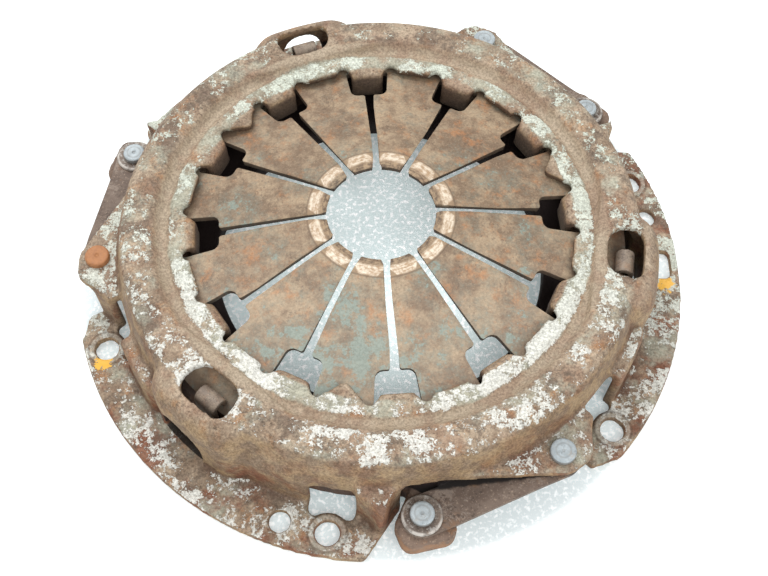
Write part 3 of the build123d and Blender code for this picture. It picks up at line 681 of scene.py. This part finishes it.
def make_drain_cutter():
    """Three arched blocks where the walls of the bulges are open above the flange. An arch
    of rise h is z = foot + h sin(a)^0.5 over s = half width cos(a), a from 0 to pi. The
    blocks run outwards from one depth to the other."""
    a = np.linspace(0, math.pi, 17)
    count = len(a)
    points, faces = [], []
    for turn, rise, shift in zip(STATIONS, DRAIN_RISES, DRAIN_SHIFTS):
        outward = np.array((*on_circle(1.0, DRAIN_ANGLE + turn + shift), 0), np.float32)
        sideways = np.array((-outward[1], outward[0], 0), np.float32)
        arch = np.outer((DRAIN_HALF * np.cos(a)).astype(np.float32), sideways)
        arch[:, 2] = DRAIN_FOOT + rise * np.maximum(np.sin(a), 0) ** 0.5
        first = len(points) * count
        points += [(arch + radius * outward) * MM for radius in DRAIN_DEPTHS]
        faces.append(list(range(first, first + count))[::-1])
        faces.append(list(range(first + count, first + 2 * count)))
        for k in range(count):
            here, after = first + k, first + (k + 1) % count
            faces.append([here, after, after + count, here + count])
    mesh = bpy.data.meshes.new("drain_cutter")
    mesh.from_pydata(np.concatenate(points).tolist(), [], faces)
    shape = bmesh.new()
    shape.from_mesh(mesh)
    bmesh.ops.recalc_face_normals(shape, faces=shape.faces)
    shape.to_mesh(mesh)
    shape.free()
    cutter = bpy.data.objects.new("drain_cutter", mesh)
    scene.collection.objects.link(cutter)
    return cutter


def on_tabs(points):
    """1 on the crimped tabs and 0 elsewhere, from points in millimetres."""
    radius = np.hypot(points[:, 0], points[:, 1])
    turn = np.degrees(np.arctan2(points[:, 1], points[:, 0])) - TAB_ANGLE
    across = np.abs((turn + TAB_PITCH / 2) % TAB_PITCH - TAB_PITCH / 2)
    near = np.clip((7.6 - radius * np.radians(across)) / 0.6, 0, 1)
    band = np.clip((radius - 65) / 1.5, 0, 1) * np.clip((75.5 - radius) / 2.5, 0, 1)
    return near * band * (points[:, 2] > 26)


def in_groove(points):
    """1 in the groove round the lands and 0 elsewhere, from points in millimetres."""
    radius = np.hypot(points[:, 0], points[:, 1])
    band = np.clip((radius - 78.6) / 1.5, 0, 1) * np.clip((87.0 - radius) / 2.0, 0, 1)
    return band * (points[:, 2] > 26)


drain_cutter = make_drain_cutter()
cover = soften("cover", "cover_body", COVER_CELL, 2, "pressed_cover", drain_cutter,
               ((on_tabs, 5), (in_groove, 5)))
bpy.data.objects.remove(drain_cutter)
cover.data.materials.append(cover_material())


# ---- diaphragm spring --------------------------------------------------------------------
# Twelve fingers of spring steel in one cone, held under the cover by its tabs. The sheet is
# drawn as its middle surface and thickened live, so that it keeps its thickness while the
# cone flattens.
TIP_RADIUS = 20.43
HALF_SLOT = 1.75
SLOT_END = 60.4
WINDOW_END = 75.5
SPRING_RIM = 92.4
SPRING_SHEET = 2.4
SLOPE = 0.2
CONE_TOP = (20.2, 41.5)
BEND_RADIUS = 27.2
TIP_CURL = 18.0


def rounded_loop(corners):
    """Closed line through plan corners given as (x, y, radius), each rounded by an arc that
    touches both sides; the arc is drawn in steps of about 20 degrees."""
    loop = []
    for k, (x, y, radius) in enumerate(corners):
        here = np.array((x, y))
        if radius <= 0:
            loop.append(here)
            continue
        back = np.array(corners[k - 1][:2]) - here
        ahead = np.array(corners[(k + 1) % len(corners)][:2]) - here
        back /= np.linalg.norm(back)
        ahead /= np.linalg.norm(ahead)
        half = math.acos(max(-1, min(1, back @ ahead))) / 2
        middle = (back + ahead) / np.linalg.norm(back + ahead)
        centre = here + middle * radius / math.sin(half)
        start = here + back * radius / math.tan(half) - centre
        end = here + ahead * radius / math.tan(half) - centre
        turn = math.atan2(start[0] * end[1] - start[1] * end[0], start @ end)
        steps = max(2, int(abs(turn) / 0.35))
        for i in range(steps + 1):
            a = turn * i / steps
            spun = (start[0] * math.cos(a) - start[1] * math.sin(a),
                    start[0] * math.sin(a) + start[1] * math.cos(a))
            loop.append(centre + np.array(spun))
    return loop


def spring_outline():
    """Inner edge of the spring: finger ends, slots and the wide windows at the slots' ends.
    Half of a slot is listed as corners, mirrored, and turned to each of the twelve."""
    side = [
        (math.sqrt(TIP_RADIUS ** 2 - HALF_SLOT ** 2), HALF_SLOT, 0.35),
        (math.sqrt(SLOT_END ** 2 - HALF_SLOT ** 2), HALF_SLOT, 0.9),
        (*on_circle(SLOT_END, 4.2), 0),
        (*on_circle(SLOT_END, 6.6), 3.0),
        (*on_circle(WINDOW_END, 6.6), 2.4),
        (*on_circle(WINDOW_END, 2.5), 0),
    ]
    lower = [(x, -y, r) for x, y, r in side]
    corners = []
    for k in range(12):
        spin = math.radians(TAB_ANGLE + k * TAB_PITCH)
        for x, y, r in lower + side[::-1]:
            corners.append((x * math.cos(spin) - y * math.sin(spin),
                            x * math.sin(spin) + y * math.cos(spin), r))
        for part in (0.3, 0.5, 0.7):
            corners.append((*on_circle(TIP_RADIUS, TAB_ANGLE + (k + part) * TAB_PITCH), 0))
    return rounded_loop(corners)


def spring_height(radius):
    """Height of the middle surface: a straight cone that would reach its top at the tips,
    whose inner ends roll over in an arc from the bend inwards."""
    half_sheet = SPRING_SHEET / 2
    cone = math.atan(SLOPE)
    bend = BEND_RADIUS - half_sheet * math.sin(cone)
    straight = CONE_TOP[1] - SLOPE * (radius - CONE_TOP[0]) - half_sheet / math.cos(cone)
    at_bend = CONE_TOP[1] - SLOPE * (bend - CONE_TOP[0]) - half_sheet / math.cos(cone)
    arc = TIP_CURL - half_sheet
    turned = np.clip((bend - radius) / arc - math.sin(cone), -1, 1)
    rolled = at_bend + arc * (np.sqrt(1 - turned ** 2) - math.cos(cone))
    return np.where(radius < bend, rolled, straight)


def in_spring(point, outline):
    """Whether a plan point lies between the rim and the inner outline."""
    if np.hypot(*point) > SPRING_RIM:
        return False
    x, y = np.array(outline).T
    x2, y2 = np.roll(x, -1), np.roll(y, -1)
    crosses = ((y > point[1]) != (y2 > point[1])) & (
        point[0] < (x2 - x) * (point[1] - y) / np.where(y2 == y, 1e-9, y2 - y) + x
    )
    return crosses.sum() % 2 == 0


def make_spring():
    """Plan outline filled with triangles of about 2 mm, each point lifted to the cone."""
    inner = spring_outline()
    rim = [np.array(on_circle(SPRING_RIM, 2.5 * k)) for k in range(144)]
    rows = []
    for k in range(-56, 57):
        for m in range(-56, 57):
            point = np.array(((m + 0.5 * (k % 2)) * 1.8, k * 1.56))
            if BEND_RADIUS + 1 < np.hypot(*point) < SPRING_RIM - 1:
                rows.append(point)
    for radius in (21.3, 22.2, 23.2, 24.2, 25.2, 26.2, 27.0, 27.5):
        rows += [np.array(on_circle(radius, 3 * k + radius)) for k in range(120)]
    points = [Vector(p) for p in inner + rim + rows]
    first, second = len(inner), len(inner) + len(rim)
    edges = [(k, (k + 1) % first) for k in range(first)]
    edges += [(k, first + (k + 1 - first) % len(rim)) for k in range(first, second)]
    flat, _, faces, _, _, _ = delaunay_2d_cdt(points, edges, [], 0, 1e-5)
    flat = np.array([tuple(v) for v in flat])
    inside = [face for face in faces if in_spring(flat[list(face)].mean(0), inner)]
    used = sorted({v for face in inside for v in face})
    index = {v: k for k, v in enumerate(used)}
    kept = flat[used]
    lifted = np.column_stack((kept, spring_height(np.hypot(kept[:, 0], kept[:, 1])))) * MM
    mesh = bpy.data.meshes.new("diaphragm")
    mesh.from_pydata(lifted.tolist(), [], [[index[v] for v in face] for face in inside])
    mesh.update()
    mesh.polygons.foreach_set("use_smooth", [True] * len(mesh.polygons))
    piece = bpy.data.objects.new("diaphragm_fingers", mesh)
    scene.collection.objects.link(piece)
    shell = piece.modifiers.new("thickness", "SOLIDIFY")
    shell.thickness = SPRING_SHEET * MM
    shell.offset = 0
    shell.use_even_offset = False
    worn = piece.modifiers.new("worn_edges", "BEVEL")
    worn.width = 0.3 * MM
    worn.segments = 2
    worn.limit_method = "ANGLE"
    worn.angle_limit = math.radians(50)
    return piece


def spring_material():
    """Bare steel gone brown, with grey-green places, and a bright pad on each finger where
    the release bearing runs. Painted shade darkens the far side, the steep faces, the turned
    down inner ends and a line round each pad; painted light brightens the near side and,
    as a painted highlight, the pads there."""
    material, t, shader = new_material("spring_bare_steel", specular=0.35)
    position, radius, _, up = places(t)
    parts = t.split(position)
    near_side = t.step(parts["Y"], 10, -50)
    left = t.step(parts["X"], 30, -40)
    color, rust_height = rust_on(t, position, (186, 166, 142), (138, 118, 100),
                                 (194, 140, 98), (104, 88, 78), speck=0.8)
    grey_share = t.plus(0.30, t.times(near_side, 0.20), t.times(left, 0.06))
    _, grey = patches_on(t, position, 20.0, grey_share, 0.6, 70.0)
    color = t.mix(t.times(t.step(grey, -0.16, 0.08), 0.5), color, tone(140, 142, 132))
    color = t.mix(t.times(t.step(grey, 0.05, 0.12), 0.72), color, tone(148, 168, 164))
    bloom = t.step(t.noise(position, 5, 5, 0.7, 17), 0.56, 0.68)
    color = t.mix(t.times(bloom, 0.35), color, tone(176, 122, 82))
    color = grainy(t, position, color, 0.34, (150, 146, 142))
    # Painted shade on the far side and painted light on the near side.
    far_shade = t.mix(near_side, tone(240, 236, 228), tone(255, 252, 246))
    color = t.mix(1.0, color, far_shade, "MULTIPLY")
    color = t.mix(t.times(near_side, 0.06), color, tone(206, 198, 186))
    color = t.mix(t.times(t.step(radius, 86, 89), 0.5), color, tone(92, 72, 60))

    # Rolled ends: a dull hollow with the polished pad on it, ended round at the slots. The
    # inner ends, where the roll turns down, are painted darker as shade, and a painted shade
    # line runs round each pad's outer edge.
    turn = t.turn(parts)
    across = t.times(t.turn_from(turn, TAB_ANGLE, TAB_PITCH / 2), radius)
    from_slot = t.minus(t.math("ABSOLUTE", across), HALF_SLOT)
    along = t.node("CombineXYZ", {0: t.times(radius, 1.8), 1: t.times(turn, 9.0), 2: 3.0})
    polish = t.plus(t.times(t.noise(position, 1.8, 5, 0.7, 61), 0.55),
                    t.times(t.noise(along, 1.6, 4, 0.7), 0.45))
    dull_and_shade = t.mix(t.step(radius, 21.2, 23.8), tone(84, 68, 56), tone(150, 126, 102))
    dull_and_shade = t.mix(t.step(polish, 0.42, 0.60), dull_and_shade, tone(168, 144, 116))
    color = t.mix(t.times(t.step(radius, 27.9, 27.2), 0.85), color, dull_and_shade)
    rounded = t.minus(from_slot, t.times(t.minus(radius, 25.4), 0.9))
    contact_wear_and_highlight = t.times(t.band(radius, 23.2, 27.1, 0.6), t.step(rounded, 0.0, 0.5))
    # Painted highlight: the pads are brighter on the near side.
    contact_wear_and_highlight = t.times(contact_wear_and_highlight, t.plus(0.72, t.times(near_side, 0.28)))
    worn = t.mix(t.step(polish, 0.40, 0.60), tone(178, 148, 116), tone(240, 228, 208))
    color = t.mix(t.times(contact_wear_and_highlight, t.step(up, 0.2, 0.5)), color, worn)
    # Painted shade line where the pad's edge steps down.
    outline = t.times(t.band(radius, 27.2, 27.9, 0.25), 0.45)
    color = t.mix(outline, color, tone(92, 76, 62))
    # Painted shade on faces that turn away from the top: slot walls, sheet edges and the downturned
    # tips.
    color = t.mix(t.times(t.step(up, 0.35, 0.1), 0.7), color, tone(70, 58, 50))
    rough = t.plus(0.55, t.times(polish, 0.25))
    rough = t.minus(rough, t.times(contact_wear_and_highlight, 0.20))
    finish_material(t, shader, color, rough, relief(t, position, rust_height, 0.10, 0.05))
    return material


spring = make_spring()
spring.data.materials.append(spring_material())
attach(spring, "cover_body")
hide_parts("diaphragm_spring")
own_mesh(spring)


# ---- fulcrum ring ------------------------------------------------------------------------
# Drawn steel wire bent to a ring, dark with grease and rust. It lies under the spring and
# is held by the curled ends of the cover's tabs.
class SmallMetal:
    """Material of a small rusty piece from four tones, with grain to its own size."""

    def __init__(self, name, tones, rough_from, depth, metallic=0.0, size=1.0):
        self.material, self.t, self.shader = new_material(name, metallic, 0.4)
        t = self.t
        self.position, _, _, self.up = places(t)
        scaled = t.vector("MULTIPLY", self.position, (1 / size, 1 / size, 1 / size))
        self.color, rust_height = rust_on(t, scaled, *tones)
        self.rough = t.plus(rough_from, t.times(t.noise(self.position, 1.4, 4, 0.6, 9), 0.25))
        self.normal = relief(t, self.position, rust_height, depth, 0.025)

    def tint(self, amount, color, blend="MIX"):
        """Puts a tone or a colour socket over the colour so far."""
        color = color if isinstance(color, bpy.types.NodeSocket) else tone(*color)
        self.color = self.t.mix(amount, self.color, color, blend)

    def done(self):
        """The finished material."""
        finish_material(self.t, self.shader, self.color, self.rough, self.normal)
        return self.material


ring_wire = SmallMetal(
    "ring_wire", ((120, 96, 78), (86, 66, 54), (140, 90, 60), (54, 42, 36)), 0.5, 0.05, size=0.5
).done()
ring = nodes["fulcrum_ring"].data
ring.materials.clear()
ring.materials.append(ring_wire)


# ---- cast iron pressure plate ------------------------------------------------------------
# Rough rusty casting with three lugs, ground flat below. It hangs on the straps under the
# spring; the lugs show brown with orange bloom on their sides.
PLATE_CELL = 1.1
PLATE_RIM = 97.5
LUG_RIVET = (108.1, 38.8)
EAR_RIVET = (107.2, 67.0)
NEARLY_BLACK = (15, 11, 10)


def make_shade_group():
    """Painted shadow of the cover's edge beside each strap: 1 inward of a bent line that
    runs from the lug to the ear. The strap's own directions are found from the
    position turned back by its station."""
    tree, t, entry, leave = make_group(
        "under_ledge", [("Position", "Vector", None)], [("Mask", "Float")]
    )
    parts = t.split(entry["Position"])
    turn = t.turn_from(t.turn(parts), LUG_RIVET[1], 60)
    squares = t.plus(t.times(parts["X"], parts["X"]), t.times(parts["Y"], parts["Y"]))
    radius = t.math("SQRT", squares)
    outward = t.minus(t.times(radius, t.math("COSINE", turn)), LUG_RIVET[0])
    sideways = t.times(radius, t.math("SINE", turn))
    ear = Vector(on_circle(EAR_RIVET[0], EAR_RIVET[1] - LUG_RIVET[1]))
    run = (ear - Vector((LUG_RIVET[0], 0))).normalized()
    along = t.plus(t.times(outward, run.x), t.times(sideways, run.y))
    inward = t.minus(t.times(outward, -run.y), t.times(sideways, -run.x))
    line = t.math("MAXIMUM", t.minus(10.1, t.times(along, 0.308)),
                  t.minus(13.3, t.times(along, 1.24)))
    ragged = t.uneven(entry["Position"], 1.6, 3, 3, 0.6)
    past = t.plus(t.minus(inward, line), ragged)
    t.links.new(t.step(past, -1.7, -0.5), leave["Mask"])
    return tree


UNDER_LEDGE = make_shade_group()


def shade_under_ledge(metal):
    """Painted shadow, nearly black, where the cover's edge lies over the piece."""
    shade = metal.t.use(UNDER_LEDGE, {"Position": metal.position})
    metal.tint(metal.t.times(shade, 0.96), NEARLY_BLACK)


def plate_material():
    """Brown rust with orange bloom on the sides, rings left by grinding underneath, painted
    shadow under the cover's edge and painted shade inside the rim.
    """
    iron = SmallMetal(
        "plate_cast_iron", ((132, 112, 98), (108, 90, 78), (146, 104, 70), (72, 58, 50)), 0.66, 0.16
    )
    t, position, up = iron.t, iron.position, iron.up
    bloom = t.step(t.noise(position, 7, 4, 0.6, 77), 0.40, 0.62)
    iron.tint(t.times(t.step(up, 0.6, 0.3), bloom, 0.6), (164, 116, 76))
    ends = {"Vector": position, "Scale": 0.9, "Distortion": 0.4, "Detail": 2.0}
    rings = t.node("TexWave", ends, out="Fac", wave_type="RINGS", rings_direction="Z")
    ground = t.mix(rings, tone(108, 104, 102), tone(148, 144, 140))
    iron.tint(t.times(t.step(up, -0.9, -0.98), 0.8), ground)
    iron.tint(t.times(t.step(form(t, "hollow"), -0.10, -0.8), 0.6), (70, 50, 42))
    shade_under_ledge(iron)
    # Painted shade inside the rim, where the cover and spring lie over the plate.
    painted_shade_inside_rim = t.step(t.flat_radius(position), PLATE_RIM + 1, PLATE_RIM - 1)
    iron.tint(t.times(painted_shade_inside_rim, 0.62), (56, 42, 40))
    return iron.done()


plate = soften("pressure_plate", "plate_body", PLATE_CELL, 2, "cast_plate")
plate.data.materials.append(plate_material())


# ---- drive straps ------------------------------------------------------------------------
# Three thin leaves of spring steel at each station, riveted to a lug of the plate and to an
# ear of the cover. They are brown with paler worn places, and bend as the plate moves.
LEAF_LENGTHS = 20


def strap_material():
    """Brown rolled surface with paler worn places, and painted shadow under the cover's edge."""
    steel = SmallMetal(
        "strap_steel", ((126, 110, 98), (102, 86, 76), (140, 108, 82), (64, 54, 48)), 0.55, 0.05
    )
    worn, _ = patches_on(steel.t, steel.position, 9.0, 0.36, 0.8, 33.0)
    steel.tint(steel.t.times(worn, 0.5), (154, 140, 128))
    shade_under_ledge(steel)
    return steel.done()


def make_leaf(station, layer, material):
    """Copy of a strap leaf cut across into short lengths, so that it can bend."""
    name = f"strap_{station + 1}_leaf_{layer}"
    mesh = nodes[name].data.copy()
    mesh.materials.clear()
    mesh.materials.append(material)
    turn = STATIONS[station]
    lug = Vector((*on_circle(LUG_RIVET[0], LUG_RIVET[1] + turn), 0)) * MM
    ear = Vector((*on_circle(EAR_RIVET[0], EAR_RIVET[1] + turn), 0)) * MM
    along = (ear - lug).normalized()
    length = (ear - lug).length
    shape = bmesh.new()
    shape.from_mesh(mesh)
    bmesh.ops.remove_doubles(shape, verts=shape.verts, dist=1e-6)
    for k in range(1, LEAF_LENGTHS):
        everything = shape.verts[:] + shape.edges[:] + shape.faces[:]
        cut = lug + along * length * k / LEAF_LENGTHS
        bmesh.ops.bisect_plane(shape, geom=everything, plane_co=cut, plane_no=along)
    shape.to_mesh(mesh)
    shape.free()
    mesh.polygons.foreach_set("use_smooth", [False] * len(mesh.polygons))
    piece = bpy.data.objects.new(f"{name}_bending", mesh)
    scene.collection.objects.link(piece)
    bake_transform(piece)
    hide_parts(name)


strap_steel = strap_material()
for station in range(3):
    for layer in (1, 2, 3):
        make_leaf(station, layer, strap_steel)


# ---- rivets ------------------------------------------------------------------------------
# Steel rivets with flat turned heads, zinc-grey, through the straps into ears and lugs. One
# head on an ear has rusted orange.
RIVET_CELL = 0.3
RUSTED_STATION = 120


def rivet_material(name, rusted_station=None):
    """Zinc-grey with a turned ring and a centre mark on each head; the head on the ear of
    one station may be rusted."""
    zinc = SmallMetal(
        name, ((186, 196, 202), (158, 168, 174), (176, 172, 166), (124, 128, 130)), 0.42, 0.05,
        metallic=0.15, size=0.45,
    )
    t, position = zinc.t, zinc.position
    zinc.tint(t.times(t.step(zinc.up, 0.7, 0.3), 0.55), (112, 102, 92))
    zinc.tint(1.0, (252, 252, 250), "MULTIPLY")
    for turn in STATIONS:
        for radius, angle in (LUG_RIVET, EAR_RIVET):
            away = t.flat_radius(position, on_circle(radius, angle + turn))
            line = t.math("MAXIMUM", t.band(away, 2.3, 2.9, 0.2), t.step(away, 0.8, 0.5))
            zinc.tint(t.times(line, 0.30), (110, 104, 98))
    if rusted_station is not None:
        head = (*on_circle(EAR_RIVET[0], EAR_RIVET[1] + rusted_station), 24.0)
        orange = t.mix(t.noise(position, 1.8, 4, 0.6, 29), tone(132, 88, 60), tone(190, 132, 84))
        zinc.tint(t.step(t.distance(position, head), 14, 12), orange)
    return zinc.done()


rivet_materials = (rivet_material("rivet_zinc_cover", RUSTED_STATION), rivet_material("rivet_zinc_lug"))
for node, body, name, material in (
    ("cover_rivets", "cover_body", "ear_rivet_heads", rivet_materials[0]),
    ("lug_rivets", "plate_body", "lug_rivet_heads", rivet_materials[1]),
):
    piece = soften(node, body, RIVET_CELL, 1, name)
    piece.data.materials.append(material)


# ---- washers and clips -------------------------------------------------------------------
# A greasy steel washer, worn bright at its rim, lies under each lug rivet's head. A bent
# clip of brown spring sheet, below each window of the crown, hooks under the plate's ridge.
WASHER_CELL = 0.3
CLIP_CELL = 0.35


def washer_material():
    """Greasy and dark, worn bright in a ring near the rim."""
    worn = SmallMetal(
        "washer_worn", ((124, 112, 102), (94, 82, 74), (126, 104, 86), (64, 56, 50)), 0.42, 0.06,
        metallic=0.25, size=0.6,
    )
    t, position = worn.t, worn.position
    bright, _ = patches_on(t, position, 4.0, 0.34, 0.9, 8.0)
    worn.tint(t.times(bright, 0.5), (196, 194, 188))
    for turn in STATIONS:
        away = t.flat_radius(position, on_circle(LUG_RIVET[0], LUG_RIVET[1] + turn))
        rim = t.times(t.step(away, 6.0, 6.7), t.step(away, 9.0, 8.5))
        left = t.step(t.noise(position, 5.5, 3, 0.6, 41), 0.44, 0.60, 0.2, 0.85)
        worn.tint(t.times(rim, left), (206, 200, 192))
    return worn.done()


washer_worn = washer_material()
clip_steel = SmallMetal(
    "clip_steel", ((156, 142, 126), (122, 108, 96), (158, 128, 104), (74, 62, 54)), 0.45, 0.05,
    size=0.6,
).done()
for station in (1, 2, 3):
    piece = soften(f"lug_washer_{station}", "plate_body", WASHER_CELL, 1, f"worn_washer_{station}")
    piece.data.materials.append(washer_worn)
    piece = soften(f"retracting_clip_{station}", "plate_body", CLIP_CELL, 1, f"sheet_clip_{station}")
    piece.data.materials.append(clip_steel)
